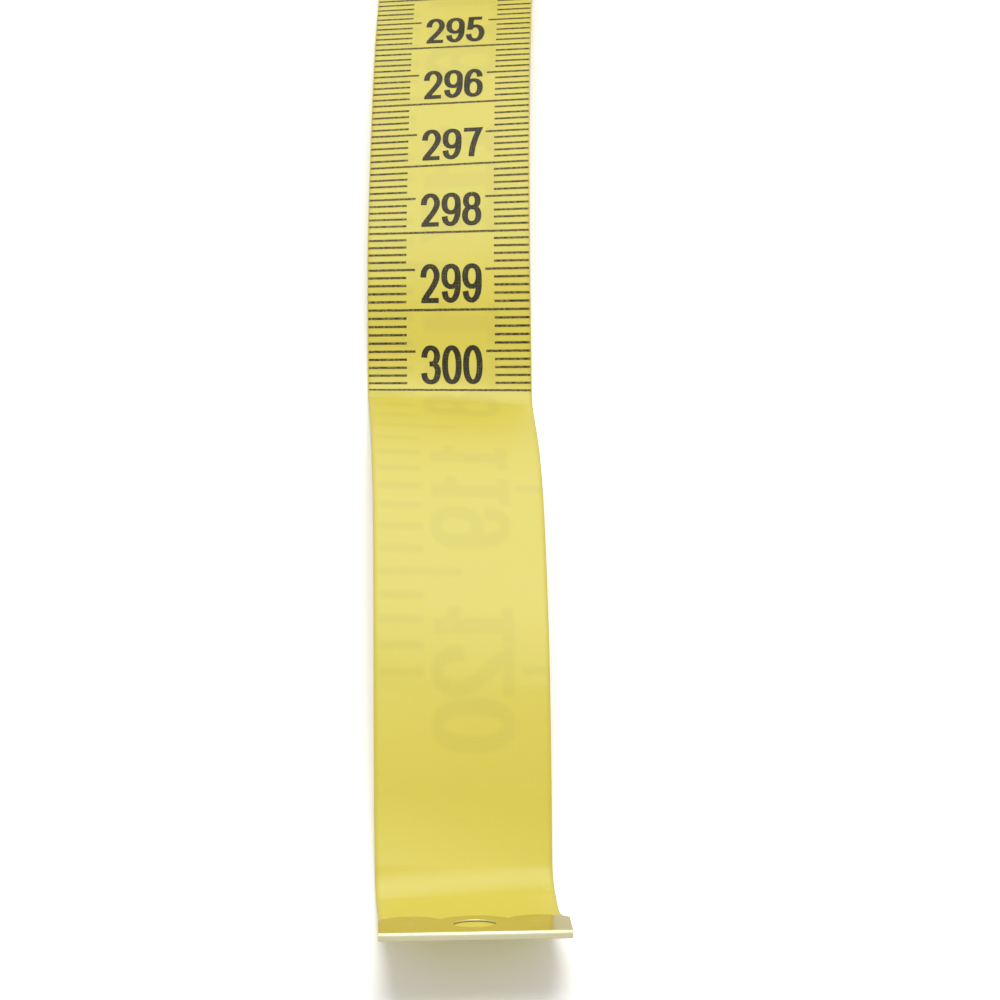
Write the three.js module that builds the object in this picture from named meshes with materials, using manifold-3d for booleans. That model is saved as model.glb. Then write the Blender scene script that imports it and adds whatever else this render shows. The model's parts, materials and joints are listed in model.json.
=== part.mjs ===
// A cloth tape measure: most of its length wound into a standing roll, a flat lead on the table,
// and a wavy free stretch that ends in a folded sheet-metal tip.
// Millimetres, +Z up. The tape runs from the roll towards -Y, and +X is its right edge.
import * as THREE from "three";
import { mergeVertices } from "three/addons/utils/BufferGeometryUtils.js";
import Module from "manifold-3d";

// Tape
const TAPE_LENGTH = 3092;
const TAPE_WIDTH = 19.5;
const TAPE_THICKNESS = 0.4;
const STRETCH_GAP = 0.3;

// Roll
const BORE_RADIUS = 12;
const TURN_GAP = 0.5;
const STEPS_PER_TURN = 18;
const CORE_BEND_RADIUS = 7;
const CORE_BEND = 100;
const CORE_BEND_STEPS = 6;
const CORE_STRAIGHT = 12.5;

// Flat lead between the roll and the free stretch
const LEAD_LENGTH = 38;

// Free stretch from the lead to the end tip: length, bend upwards and twist (right edge up), in mm and degrees
const RUN_ROUTE = [
  [14, 15.5, 0],
  [10, 0, 4],
  [8, -2.5, 1],
  [10, -6.5, -0.3],
  [10, -5, 0.4],
  [10, -3.5, 0.2],
  [10, -5.5, -2.3],
  [10, -20.5, -2.2],
  [4, -4, -1],
  [5, 16, -1.4],
  [3.5, 44, -3.4],
  [5.5, 2.5, -0.5],
  [11, -14, 0.8],
  [11, -14.2, 0.1],
  [10, -4, 1.5],
  [10, -15.2, 2.6],
  [12, -10, -2.1],
  [8, 12, -3.9],
  [4.5, 48, 4.3],
  [7.5, 16.5, -1.2],
];
const RUN_STEP = 1.5;

// Folded metal tips
const TIP_LENGTH = 10.3;
const TIP_SHEET = 0.16;
const TIP_CLEARANCE = 0.1;
const TIP_OVERHANG = 0.45;
const LOBE_DEPTH = 1.9;
const MIDDLE_LOBE_WIDTH = 7.3;
const HOLE_DIAMETER = 4.5;
const HOLE_TO_FOLD = 5.4;
const DIMPLE_DIAMETER = 1.3;
const DIMPLE_DEPTH = 0.08;
const DIMPLE_TO_FOLD = 6.2;
const DIMPLE_SPACING = 13.4;
const ARC_STEPS = 8;

const UP = new THREE.Vector3(0, 0, 1);
const RIGHT = new THREE.Vector3(1, 0, 0);
const FORWARD = new THREE.Vector3(0, -1, 0);
const DEGREE = Math.PI / 180;

const wasm = await Module();
wasm.setup();

const coatedCloth = new THREE.MeshStandardMaterial({ color: 0xe4d870, roughness: 0.5, metalness: 0 });
const tipMetal = new THREE.MeshStandardMaterial({ color: 0xd2cba8, roughness: 0.3, metalness: 1 });

// Stations along the tape

// One place on the tape: its centre, and unit vectors along it, across it and out of its centimetre side.
function station(centre, along, across) {
  return { centre, along, across, normal: new THREE.Vector3().crossVectors(along, across) };
}

// A copy of a station, moved along the tape in a straight line.
function straightOn(from, length) {
  return { ...from, centre: from.centre.clone().addScaledVector(from.along, length) };
}

// Follows a stretch that bends out of its own plane and twists evenly, and returns a station at every step.
function bentStretch(from, length, bend, twist, steps) {
  const stations = [];
  let last = from;
  for (let i = 0; i < steps; i++) {
    const half = new THREE.Quaternion().setFromAxisAngle(last.across, (-bend * DEGREE) / steps / 2);
    const roll = new THREE.Quaternion().setFromAxisAngle(last.along, (twist * DEGREE) / steps);
    const heading = last.along.clone().applyQuaternion(half);
    const centre = last.centre.clone().addScaledVector(heading, length / steps);
    const across = last.across.clone().applyQuaternion(roll);
    const along = heading.applyQuaternion(half).projectOnPlane(across).normalize();
    last = station(centre, along, across.normalize());
    stations.push(last);
  }
  return stations;
}

// The free stretch: it starts flat at the end of the lead.
function runStations(start) {
  const stations = [start];
  for (const [length, bend, twist] of RUN_ROUTE) {
    stations.push(...bentStretch(stations.at(-1), length, bend, twist, Math.ceil(length / RUN_STEP)));
  }
  return stations;
}

// The roll, from its inner end to the flat that it stands on. The turns spiral at a steady rate, every
// turn has its corners at the same angles, and the last facet lies on the table under the roll's axis.
function rollStations(woundLength) {
  const pitch = TAPE_THICKNESS + TURN_GAP;
  const step = (2 * Math.PI) / STEPS_PER_TURN;
  const nominalOuter = Math.sqrt(BORE_RADIUS ** 2 + (woundLength * pitch) / Math.PI);
  const steps = Math.round(((nominalOuter - BORE_RADIUS) / pitch) * STEPS_PER_TURN);
  const outer = woundLength / (steps * step) + (pitch * steps) / STEPS_PER_TURN / 2;
  const axisHeight = outer * Math.cos(step / 2) + TAPE_THICKNESS / 2;

  const turns = [];
  for (let i = steps; i >= 0; i--) {
    const angle = (i + 0.5) * step;
    const radius = outer - (pitch * i) / STEPS_PER_TURN;
    const outwards = new THREE.Vector3(0, Math.sin(angle), -Math.cos(angle));
    const along = new THREE.Vector3(0, -Math.cos(angle), -Math.sin(angle));
    turns.push(station(outwards.multiplyScalar(radius).add(UP.clone().multiplyScalar(axisHeight)), along, RIGHT));
  }

  const inner = turns[0];
  const inwards = station(inner.centre, inner.along.clone().negate(), inner.across.clone().negate());
  const bendLength = CORE_BEND_RADIUS * CORE_BEND * DEGREE;
  const bend = bentStretch(inwards, bendLength, CORE_BEND, 0, CORE_BEND_STEPS);
  const core = [straightOn(bend.at(-1), CORE_STRAIGHT), ...bend.reverse()].map((s) =>
    station(s.centre, s.along.clone().negate(), s.across.clone().negate()),
  );

  const foot = station(new THREE.Vector3(0, -outer * Math.sin(step / 2), TAPE_THICKNESS / 2), FORWARD, RIGHT);
  return [...core, ...turns, foot];
}

// Solids

// A closed strip of the tape's section, lofted through the stations.
function stripGeometry(stations) {
  const corners = [
    [-1, -1],
    [1, -1],
    [1, 1],
    [-1, 1],
  ];
  const positions = stations.flatMap((s) =>
    corners.flatMap(([side, face]) =>
      s.centre
        .clone()
        .addScaledVector(s.across, (side * TAPE_WIDTH) / 2)
        .addScaledVector(s.normal, (face * TAPE_THICKNESS) / 2)
        .toArray(),
    ),
  );
  const index = [];
  const quad = (a, b, c, d) => index.push(a, b, c, a, c, d);
  for (let i = 0; i + 1 < stations.length; i++) {
    for (let k = 0; k < 4; k++) {
      const next = (k + 1) % 4;
      quad(4 * i + k, 4 * i + next, 4 * i + 4 + next, 4 * i + 4 + k);
    }
  }
  const end = 4 * (stations.length - 1);
  quad(3, 2, 1, 0);
  quad(end, end + 1, end + 2, end + 3);
  return new THREE.BufferGeometry()
    .setAttribute("position", new THREE.Float32BufferAttribute(positions, 3))
    .setIndex(index);
}

// The least clear distance between two turns, measured from the outer face of each station to the inner faces
// that lie at least half an innermost turn further along the tape.
function leastTurnGap(stations) {
  const faces = (sign) =>
    stations.map((s) => s.centre.clone().addScaledVector(s.normal, (sign * TAPE_THICKNESS) / 2));
  const outerFace = faces(-1);
  const innerFace = faces(1);
  let least = Infinity;
  stations.forEach((_, i) => {
    for (let j = i + STEPS_PER_TURN / 2; j < stations.length; j++) {
      least = Math.min(least, outerFace[i].distanceTo(innerFace[j]), innerFace[i].distanceTo(innerFace[j]));
    }
  });
  return least;
}

// A geometry as a solid that can be joined and cut.
function solid(geometry) {
  const bare = geometry.clone().deleteAttribute("normal").deleteAttribute("uv");
  const merged = mergeVertices(bare);
  return new wasm.Manifold(
    new wasm.Mesh({
      numProp: 3,
      vertProperties: new Float32Array(merged.attributes.position.array),
      triVerts: new Uint32Array(merged.index.array),
    }),
  );
}

// A solid as a geometry.
function geometryOf(manifold) {
  const mesh = manifold.getMesh();
  return new THREE.BufferGeometry()
    .setAttribute("position", new THREE.Float32BufferAttribute(mesh.vertProperties, 3))
    .setIndex(new THREE.Uint32BufferAttribute(mesh.triVerts, 1));
}

// The tip's side profile: a sheet folded once round the tape's end. The fold's outermost line is at y = 0
// and the open side faces +Y, with the tape's centimetre side towards +Z.
function foldProfile() {
  const inner = TAPE_THICKNESS / 2 + TIP_CLEARANCE;
  const outer = inner + TIP_SHEET;
  const profile = new THREE.Shape();
  profile.moveTo(TIP_LENGTH, -outer);
  profile.lineTo(TIP_LENGTH, -inner);
  profile.lineTo(outer, -inner);
  profile.absarc(outer, 0, inner, -Math.PI / 2, Math.PI / 2, true);
  profile.lineTo(TIP_LENGTH, inner);
  profile.lineTo(TIP_LENGTH, outer);
  profile.lineTo(outer, outer);
  profile.absarc(outer, 0, outer, Math.PI / 2, (3 * Math.PI) / 2, false);
  return profile;
}

// What is stamped off the open edges of both plates, which leaves three round lobes.
function lobeCutter(tipWidth) {
  const root = TIP_LENGTH - LOBE_DEPTH;
  const clear = TIP_LENGTH + LOBE_DEPTH;
  const corners = [-tipWidth / 2, -MIDDLE_LOBE_WIDTH / 2, MIDDLE_LOBE_WIDTH / 2, tipWidth / 2];
  const cutter = new THREE.Shape();
  cutter.moveTo(-tipWidth, clear);
  cutter.lineTo(-tipWidth, root);
  for (let i = 0; i < 3; i++) {
    const half = (corners[i + 1] - corners[i]) / 2;
    const radius = (half ** 2 + LOBE_DEPTH ** 2) / (2 * LOBE_DEPTH);
    const middle = corners[i] + half;
    const spread = Math.asin(half / radius);
    cutter.absarc(middle, TIP_LENGTH - radius, radius, Math.PI / 2 + spread, Math.PI / 2 - spread, true);
  }
  cutter.lineTo(tipWidth, root);
  cutter.lineTo(tipWidth, clear);
  return cutter;
}

// The folded tip: bent from one sheet, with lobed edges, a round hole through both plates
// and a pressed dimple beside the hole on each side of each plate.
function tipGeometry() {
  const tipWidth = TAPE_WIDTH + 2 * TIP_OVERHANG;
  const thickness = TAPE_THICKNESS + 2 * (TIP_CLEARANCE + TIP_SHEET);
  const through = 3 * thickness;

  const fold = new THREE.ExtrudeGeometry(foldProfile(), {
    depth: tipWidth,
    bevelEnabled: false,
    curveSegments: ARC_STEPS,
  });
  fold.applyMatrix4(new THREE.Matrix4().makeBasis(new THREE.Vector3(0, 1, 0), UP, RIGHT));
  fold.translate(-tipWidth / 2, 0, 0);

  const lobes = new THREE.ExtrudeGeometry(lobeCutter(tipWidth), {
    depth: through,
    bevelEnabled: false,
    curveSegments: ARC_STEPS,
  });
  lobes.translate(0, 0, -through / 2);

  const hole = new THREE.CylinderGeometry(HOLE_DIAMETER / 2, HOLE_DIAMETER / 2, through, 3 * ARC_STEPS);
  hole.rotateX(Math.PI / 2);
  hole.translate(0, HOLE_TO_FOLD, 0);

  let tip = solid(fold).subtract(solid(lobes)).subtract(solid(hole));
  for (const side of [-1, 1]) {
    for (const face of [-1, 1]) {
      const dent = new THREE.ConeGeometry(DIMPLE_DIAMETER, 2 * DIMPLE_DEPTH, ARC_STEPS);
      dent.rotateX((-face * Math.PI) / 2);
      dent.translate((side * DIMPLE_SPACING) / 2, DIMPLE_TO_FOLD, (face * thickness) / 2);
      tip = tip.subtract(solid(dent));
    }
  }
  return geometryOf(tip);
}

// Assembly

// A named sub-part.
function part(name, geometry, material) {
  const mesh = new THREE.Mesh(geometry, material);
  mesh.name = name;
  return mesh;
}

// A tip pushed over the tape's end until the tape meets the inside of its fold.
// outwards points off the tape's end, along the tape.
function tip(name, end, outwards) {
  const mesh = part(name, tipGeometry(), tipMetal);
  const across = new THREE.Vector3().crossVectors(outwards.clone().negate(), end.normal);
  mesh.setRotationFromMatrix(new THREE.Matrix4().makeBasis(across, outwards.clone().negate(), end.normal));
  mesh.position.copy(end.centre).addScaledVector(outwards, TIP_SHEET + TIP_CLEARANCE);
  return mesh;
}

const tipCover = TIP_LENGTH - TIP_SHEET - TIP_CLEARANCE;
const runLength = RUN_ROUTE.reduce((sum, [length]) => sum + length, 0) + tipCover;
const coreLength = CORE_STRAIGHT + CORE_BEND_RADIUS * CORE_BEND * DEGREE;
const roll = rollStations(TAPE_LENGTH - runLength - LEAD_LENGTH - coreLength);

const leadStart = straightOn(roll.at(-1), STRETCH_GAP);
const leadEnd = straightOn(leadStart, LEAD_LENGTH);
const run = runStations(straightOn(leadEnd, STRETCH_GAP));
run.push(straightOn(run.at(-1), tipCover));

const tapeMeasure = new THREE.Group();
tapeMeasure.add(
  part("tape_roll", stripGeometry(roll), coatedCloth),
  part("tape_lead", stripGeometry([leadStart, leadEnd]), coatedCloth),
  part("tape_run", stripGeometry(run), coatedCloth),
  tip("start_tip", roll[0], roll[0].along.clone().negate()),
  tip("end_tip", run.at(-1), run.at(-1).along),
);

// The origin is under the middle of the whole object, on the table.
const box = new THREE.Box3().setFromObject(tapeMeasure, true);
const middle = box.getCenter(new THREE.Vector3());
tapeMeasure.position.set(-middle.x, -middle.y, -box.min.z);

console.log("least gap between turns: " + leastTurnGap(roll).toFixed(2) + " mm");

export default tapeMeasure;
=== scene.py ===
"""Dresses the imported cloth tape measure: its coated strip, printed scales, folded tips and studio."""

from __future__ import annotations

import json
import logging
import math
from dataclasses import asdict, dataclass, field, fields
from enum import Enum
from typing import Any, Iterable, Mapping, Sequence

import bmesh
import bpy
import numpy as np
from mathutils import Matrix, Vector

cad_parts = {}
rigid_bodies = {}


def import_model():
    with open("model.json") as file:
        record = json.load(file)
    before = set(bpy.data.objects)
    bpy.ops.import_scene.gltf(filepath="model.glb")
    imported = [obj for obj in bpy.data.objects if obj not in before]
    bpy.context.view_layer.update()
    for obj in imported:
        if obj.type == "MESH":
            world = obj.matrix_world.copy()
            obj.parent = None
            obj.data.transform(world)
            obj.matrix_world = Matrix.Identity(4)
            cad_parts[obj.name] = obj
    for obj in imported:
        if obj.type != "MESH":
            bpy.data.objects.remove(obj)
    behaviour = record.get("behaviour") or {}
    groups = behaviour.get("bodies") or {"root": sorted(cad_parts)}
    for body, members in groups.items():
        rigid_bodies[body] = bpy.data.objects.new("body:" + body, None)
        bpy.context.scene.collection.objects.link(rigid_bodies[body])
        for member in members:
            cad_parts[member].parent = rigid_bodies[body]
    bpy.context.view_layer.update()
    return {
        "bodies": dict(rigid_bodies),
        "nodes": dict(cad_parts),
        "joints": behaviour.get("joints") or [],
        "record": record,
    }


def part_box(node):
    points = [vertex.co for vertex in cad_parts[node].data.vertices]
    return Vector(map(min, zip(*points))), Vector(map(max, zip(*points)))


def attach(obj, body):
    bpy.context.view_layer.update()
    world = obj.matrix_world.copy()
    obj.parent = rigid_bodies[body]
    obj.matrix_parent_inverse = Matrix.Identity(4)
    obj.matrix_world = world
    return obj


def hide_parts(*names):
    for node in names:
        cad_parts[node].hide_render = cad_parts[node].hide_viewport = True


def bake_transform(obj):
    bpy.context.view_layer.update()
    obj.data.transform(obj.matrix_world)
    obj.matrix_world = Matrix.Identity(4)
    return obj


LOG = logging.getLogger("tape_measure")
MM = 0.001
INCH = 0.0254
TINY = 1e-12

Point = tuple[float, float]
Place = tuple[float, float, float]
Colour = tuple[float, float, float]
Corners = tuple[int, ...]
Stations = tuple[np.ndarray, np.ndarray, np.ndarray]

WHITE: Colour = (1.0, 1.0, 1.0)


class Face(Enum):
    """The two printed faces of the tape."""

    CENTIMETRE = 1
    INCH = -1


class Socket(Enum):
    """The kinds of socket that the node groups have."""

    GEOMETRY = "NodeSocketGeometry"
    FLOAT = "NodeSocketFloat"
    INT = "NodeSocketInt"
    VECTOR = "NodeSocketVector"
    OBJECT = "NodeSocketObject"
    COLLECTION = "NodeSocketCollection"
    MATERIAL = "NodeSocketMaterial"


class TreeKind(Enum):
    """The two kinds of node group."""

    GEOMETRY = "GeometryNodeTree"
    SHADER = "ShaderNodeTree"


class TreeBuilder:
    """Adds nodes and links to one shader or geometry node tree."""

    def __init__(self, tree: bpy.types.NodeTree) -> None:
        """Keeps the tree that the nodes go into."""
        self.tree = tree

    def node(self, kind: str, inputs: Mapping[str, Any] | None = None, **settings: Any) -> bpy.types.Node:
        """Adds one node.

        Args:
            kind: The node's type.
            inputs: Values or sockets by input name.
            settings: The node's own properties, set before its inputs.

        Returns:
            The new node.
        """
        made = self.tree.nodes.new(kind)
        for label, value in settings.items():
            setattr(made, label, value)
        for label, value in (inputs or {}).items():
            self.feed(self.socket(made.inputs, label), value)
        return made

    def out(
        self, kind: str, inputs: Mapping[str, Any] | None = None, pick: str = "", **settings: Any
    ) -> bpy.types.NodeSocket:
        """Adds one node, and gives its output of the name picked, or its first one."""
        made = self.node(kind, inputs, **settings)
        return self.socket(made.outputs, pick) if pick else made.outputs[0]

    @staticmethod
    def socket(sockets: Iterable[bpy.types.NodeSocket], label: str) -> bpy.types.NodeSocket:
        """The socket of that name that is in use on its node."""
        return next(s for s in sockets if s.name == label and s.enabled)

    def feed(self, target: bpy.types.NodeSocket, value: Any) -> None:
        """Links a socket to the target, or sets a plain value on it.

        Args:
            target: The input socket.
            value: A socket or a plain value. A plain colour comes without its alpha.
        """
        if isinstance(value, bpy.types.NodeSocket):
            self.tree.links.new(value, target)
        else:
            target.default_value = (*value, 1.0) if target.type == "RGBA" else value

    def _operate(self, kind: str, operation: str, values: Sequence[Any]) -> bpy.types.NodeSocket:
        """Adds a math node of one kind.

        Args:
            kind: The node's type.
            operation: Its operation.
            values: Values or sockets for the inputs that the operation uses, in order.

        Returns:
            The node's first output.
        """
        made = self.node(kind, operation=operation)
        for target, value in zip([s for s in made.inputs if s.enabled], values):
            self.feed(target, value)
        return made.outputs[0]

    def math(self, operation: str, *values: Any) -> bpy.types.NodeSocket:
        """The result of a math node that works on numbers or sockets."""
        return self._operate("ShaderNodeMath", operation, values)

    def vector(self, operation: str, *values: Any) -> bpy.types.NodeSocket:
        """The result of a vector math node that works on vectors, factors or sockets."""
        return self._operate("ShaderNodeVectorMath", operation, values)

    def combine(self, x: Any, y: Any, z: Any) -> bpy.types.NodeSocket:
        """A vector put together from three numbers or sockets."""
        return self.out("ShaderNodeCombineXYZ", {"X": x, "Y": y, "Z": z})

    def parts(self, vector: bpy.types.NodeSocket) -> bpy.types.NodeOutputs:
        """The three numbers of a vector, by the names X, Y and Z."""
        return self.node("ShaderNodeSeparateXYZ", {"Vector": vector}).outputs

    def noise(self, vector: Any, scale: Any, detail: float, pick: str = "") -> bpy.types.NodeSocket:
        """Noise on a vector, as a value or as the output that is picked."""
        return self.out("ShaderNodeTexNoise", {"Vector": vector, "Scale": scale, "Detail": detail}, pick)

    def ranged(
        self, value: Any, start: Sequence[Any], end: Sequence[float] = (0.0, 1.0), smooth: bool = False
    ) -> bpy.types.NodeSocket:
        """Takes a value from one range to another, and no further.

        Args:
            value: The value's socket.
            start: The two ends of the range that it comes from, as numbers or sockets.
            end: The two ends of the range that it is taken to.
            smooth: Whether it eases in and out.

        Returns:
            The new value's socket.
        """
        labels = ("From Min", "From Max", "To Min", "To Max")
        inputs = {"Value": value} | dict(zip(labels, (*start, *end)))
        easing = "SMOOTHSTEP" if smooth else "LINEAR"
        return self.out("ShaderNodeMapRange", inputs, interpolation_type=easing)

    def around(self, value: Any, middle: float, spread: float) -> bpy.types.NodeSocket:
        """A value between 0 and 1 taken to a spread around a middle."""
        return self.math("MULTIPLY_ADD", value, spread, middle - spread / 2)

    def mixed(self, factor: Any, first: Any, second: Any) -> bpy.types.NodeSocket:
        """A colour mixed from two, where the factor is the share of the second."""
        colours = {"Factor": factor, "A": first, "B": second}
        return self.out("ShaderNodeMix", colours, "Result", data_type="RGBA", clamp_factor=True)

    def group(self, tree: bpy.types.NodeTree, inputs: Mapping[str, Any]) -> bpy.types.Node:
        """Places a node group, with values or sockets by input name."""
        return self.node(tree.bl_idname.replace("Tree", "Group"), inputs, node_tree=tree)


class GroupBuilder(TreeBuilder):
    """Builds one node group with named sockets."""

    def __init__(
        self, name: str, kind: TreeKind, inputs: Mapping[str, Socket], outputs: Mapping[str, Socket]
    ) -> None:
        """Makes the empty group.

        Args:
            name: The group's name.
            kind: Whether it is for geometry or for shaders.
            inputs: Kinds of socket by input name.
            outputs: Kinds of socket by output name.
        """
        super().__init__(bpy.data.node_groups.new(name, kind.value))
        for way, sockets in (("INPUT", inputs), ("OUTPUT", outputs)):
            for label, socket in sockets.items():
                self.tree.interface.new_socket(name=label, in_out=way, socket_type=socket.value)
        self.given = self.tree.nodes.new("NodeGroupInput").outputs
        self.result = self.tree.nodes.new("NodeGroupOutput").inputs

    def ended(self, results: Mapping[str, bpy.types.NodeSocket]) -> bpy.types.NodeTree:
        """Links the group's outputs.

        Args:
            results: The sockets to put out by output name.

        Returns:
            The finished group.
        """
        for label, socket in results.items():
            self.feed(self.result[label], socket)
        return self.tree


class MaterialBuilder(TreeBuilder):
    """Builds one material around its Principled BSDF."""

    def __init__(self, name: str) -> None:
        """Makes the plain material.

        Args:
            name: The material's name.
        """
        self.material = bpy.data.materials.new(name)
        self.material.use_nodes = True
        super().__init__(self.material.node_tree)
        self.shader = next(n for n in self.tree.nodes if n.type == "BSDF_PRINCIPLED")

    def attribute(self, name: str, pick: str) -> bpy.types.NodeSocket:
        """An attribute of the mesh, as one of its node's outputs."""
        return self.out("ShaderNodeAttribute", pick=pick, attribute_name=name)

    def ended(self, surface: Mapping[str, Any]) -> bpy.types.Material:
        """Feeds the shader.

        Args:
            surface: Values or sockets by the shader's input names.

        Returns:
            The finished material.
        """
        for label, value in surface.items():
            self.feed(self.shader.inputs[label], value)
        return self.material


def turned(vector: np.ndarray, axis: np.ndarray, angle: float) -> np.ndarray:
    """Turns a vector about a unit axis.

    Args:
        vector: The vector.
        axis: The unit axis.
        angle: The angle in radians.

    Returns:
        The turned vector.
    """
    return (
        vector * math.cos(angle)
        + np.cross(axis, vector) * math.sin(angle)
        + axis * (axis @ vector) * (1 - math.cos(angle))
    )


def new_object(name: str, mesh: bpy.types.Mesh) -> bpy.types.Object:
    """Puts a mesh into the scene.

    Args:
        name: The object's name.
        mesh: The mesh.

    Returns:
        The object, at the origin.
    """
    made = bpy.data.objects.new(name, mesh)
    bpy.context.scene.collection.objects.link(made)
    return made


def grown(
    name: str, tree: bpy.types.NodeTree, values: Mapping[str, Any], base: bpy.types.Mesh
) -> bpy.types.Object:
    """Runs a Geometry Nodes tree on a base mesh and keeps the result as a plain mesh.

    Args:
        name: The finished piece's name.
        tree: The tree.
        values: The tree's inputs by name.
        base: The mesh that the tree starts from.

    Returns:
        The finished piece, without modifiers.
    """
    carrier = new_object(name + "_carrier", base)
    modifier = carrier.modifiers.new("grow", "NODES")
    modifier.node_group = tree
    sockets = {item.name: item.identifier for item in tree.interface.items_tree if item.in_out == "INPUT"}
    for label, value in values.items():
        modifier[sockets[label]] = value
    graph = bpy.context.evaluated_depsgraph_get()
    result = carrier.evaluated_get(graph)
    mesh = bpy.data.meshes.new_from_object(result, preserve_all_data_layers=True, depsgraph=graph)
    carrier.modifiers.remove(modifier)
    bpy.data.objects.remove(carrier)
    mesh.name = name
    return new_object(name, mesh)


@dataclass
class TapePath:
    """The tape's middle line from its start inside the roll to its end in the tip.

    Lengths are in metres and angles in degrees. The route of the free stretch holds the length in
    millimetres, the bend upwards and the twist of the right edge upwards, as the solid model has them.
    """

    length: float = 3.092
    width: float = 0.0195
    thickness: float = 0.0004
    stretch_gap: float = 0.0003
    bore_radius: float = 0.012
    turn_gap: float = 0.0005
    corners_per_turn: int = 18
    core_bend_radius: float = 0.007
    core_bend: float = 100.0
    core_straight: float = 0.0125
    lead_length: float = 0.038
    tip_cover: float = 0.01004
    route: tuple[tuple[float, float, float], ...] = (
        (14, 15.5, 0),
        (10, 0, 4),
        (8, -2.5, 1),
        (10, -6.5, -0.3),
        (10, -5, 0.4),
        (10, -3.5, 0.2),
        (10, -5.5, -2.3),
        (10, -20.5, -2.2),
        (4, -4, -1),
        (5, 16, -1.4),
        (3.5, 44, -3.4),
        (5.5, 2.5, -0.5),
        (11, -14, 0.8),
        (11, -14.2, 0.1),
        (10, -4, 1.5),
        (10, -15.2, 2.6),
        (12, -10, -2.1),
        (8, 12, -3.9),
        (4.5, 48, 4.3),
        (7.5, 16.5, -1.2),
    )
    core_bend_steps: int = 16
    core_straight_steps: int = 20
    roll_step: float = 5.0
    flat_step: float = MM
    run_step: float = 0.00035
    settle_side: float = 0.2
    settle_reach: float = 0.002
    settle_round: float = 0.00008
    length_rounds: int = 4
    place: np.ndarray = field(init=False)
    across: np.ndarray = field(init=False)
    facing: np.ndarray = field(init=False)
    distance: np.ndarray = field(init=False)
    run_start: float = field(init=False)

    def lay(self) -> None:
        """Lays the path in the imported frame, so that its flat lead lies where the solid lead does.

        The spiral is worked out as the solid model has it, with corners. The smooth one that is laid here
        differs a little in length, so its outer radius is corrected until the whole tape has its length.
        """
        low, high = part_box("tape_lead")
        middle = (low.x + high.x) / 2
        run_start_y = low.y - self.stretch_gap
        run = self._run_stations(np.array([middle, run_start_y, self.thickness / 2]))
        run_length = sum(length for length, _, _ in self.route) * MM + self.tip_cover

        wound = self.length - run_length - self.lead_length - self._core_length()
        pitch = self.thickness + self.turn_gap
        step = 2 * math.pi / self.corners_per_turn
        nominal = math.sqrt(self.bore_radius**2 + wound * pitch / math.pi)
        steps = round((nominal - self.bore_radius) / pitch * self.corners_per_turn)
        outer = wound / (steps * step) + pitch * steps / self.corners_per_turn / 2
        axis_y = high.y + self.stretch_gap + outer * math.sin(step / 2)
        axis_z = outer * math.cos(step / 2) + self.thickness / 2
        axis = np.array([middle, axis_y, axis_z])
        inner = outer - pitch * steps / self.corners_per_turn
        sweep = (steps + 0.5) * step

        rest = self.length - run_length
        slack = 0.0
        for _ in range(self.length_rounds):
            roll = self._roll_stations(axis, outer + slack, inner, sweep, run_start_y)
            slack += 2 * (rest - self._lengths(np.vstack([roll[0], run[0][:1]])).sum()) / sweep
        self.place, self.across, self.facing = (np.concatenate(parts) for parts in zip(roll, run))
        self.distance = np.concatenate([[0.0], np.cumsum(self._lengths(self.place))])
        self.run_start = float(self.distance[len(roll[0])])

    def _core_length(self) -> float:
        """The length of the tape's start, from the innermost turn to the end inside the start tip."""
        return self.core_straight + self.core_bend_radius * math.radians(self.core_bend)

    @staticmethod
    def _lengths(points: np.ndarray) -> np.ndarray:
        """The lengths of the pieces between points in a row."""
        return np.linalg.norm(np.diff(points, axis=0), axis=1)

    def _run_stations(self, start: np.ndarray) -> Stations:
        """Follows the free stretch from the end of the lead.

        Args:
            start: The middle of the tape where the stretch starts.

        Returns:
            Places, across directions and facing directions.
        """
        place, along, across = start, np.array([0.0, -1.0, 0.0]), np.array([1.0, 0.0, 0.0])
        rows = [(place, across, np.cross(along, across))]
        for length, bend, twist in (*self.route, (self.tip_cover / MM, 0, 0)):
            steps = math.ceil(length * MM / self.run_step)
            half = -math.radians(bend) / steps / 2
            for _ in range(steps):
                heading = turned(along, across, half)
                place = place + heading * (length * MM / steps)
                rolled = turned(across, along, math.radians(twist) / steps)
                along = turned(heading, across, half)
                along = along - rolled * (rolled @ along)
                along, across = along / np.linalg.norm(along), rolled / np.linalg.norm(rolled)
                rows.append((place, across, np.cross(along, across)))
        return tuple(np.array(column) for column in zip(*rows))

    def _core_points(self, start: np.ndarray, sweep: float) -> np.ndarray:
        """Follows the tape's start, which bends from the innermost turn into the bore.

        Args:
            start: The innermost turn's end, as y and z.
            sweep: The angle that the spiral turns through.

        Returns:
            Rows of y and z, from the tape's start outwards.
        """
        heading = np.array([math.cos(sweep), math.sin(sweep)])
        inward = np.array([-math.sin(sweep), math.cos(sweep)])
        bend = math.radians(self.core_bend) * np.arange(1, self.core_bend_steps + 1) / self.core_bend_steps
        radius = self.core_bend_radius
        curve = [start + radius * (heading * math.sin(a) + inward * (1 - math.cos(a))) for a in bend]
        last = heading * math.cos(bend[-1]) + inward * math.sin(bend[-1])
        steps = self.core_straight_steps
        straight = [curve[-1] + last * self.core_straight * k / steps for k in range(1, steps + 1)]
        return np.array([*curve, *straight])[::-1]

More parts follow.
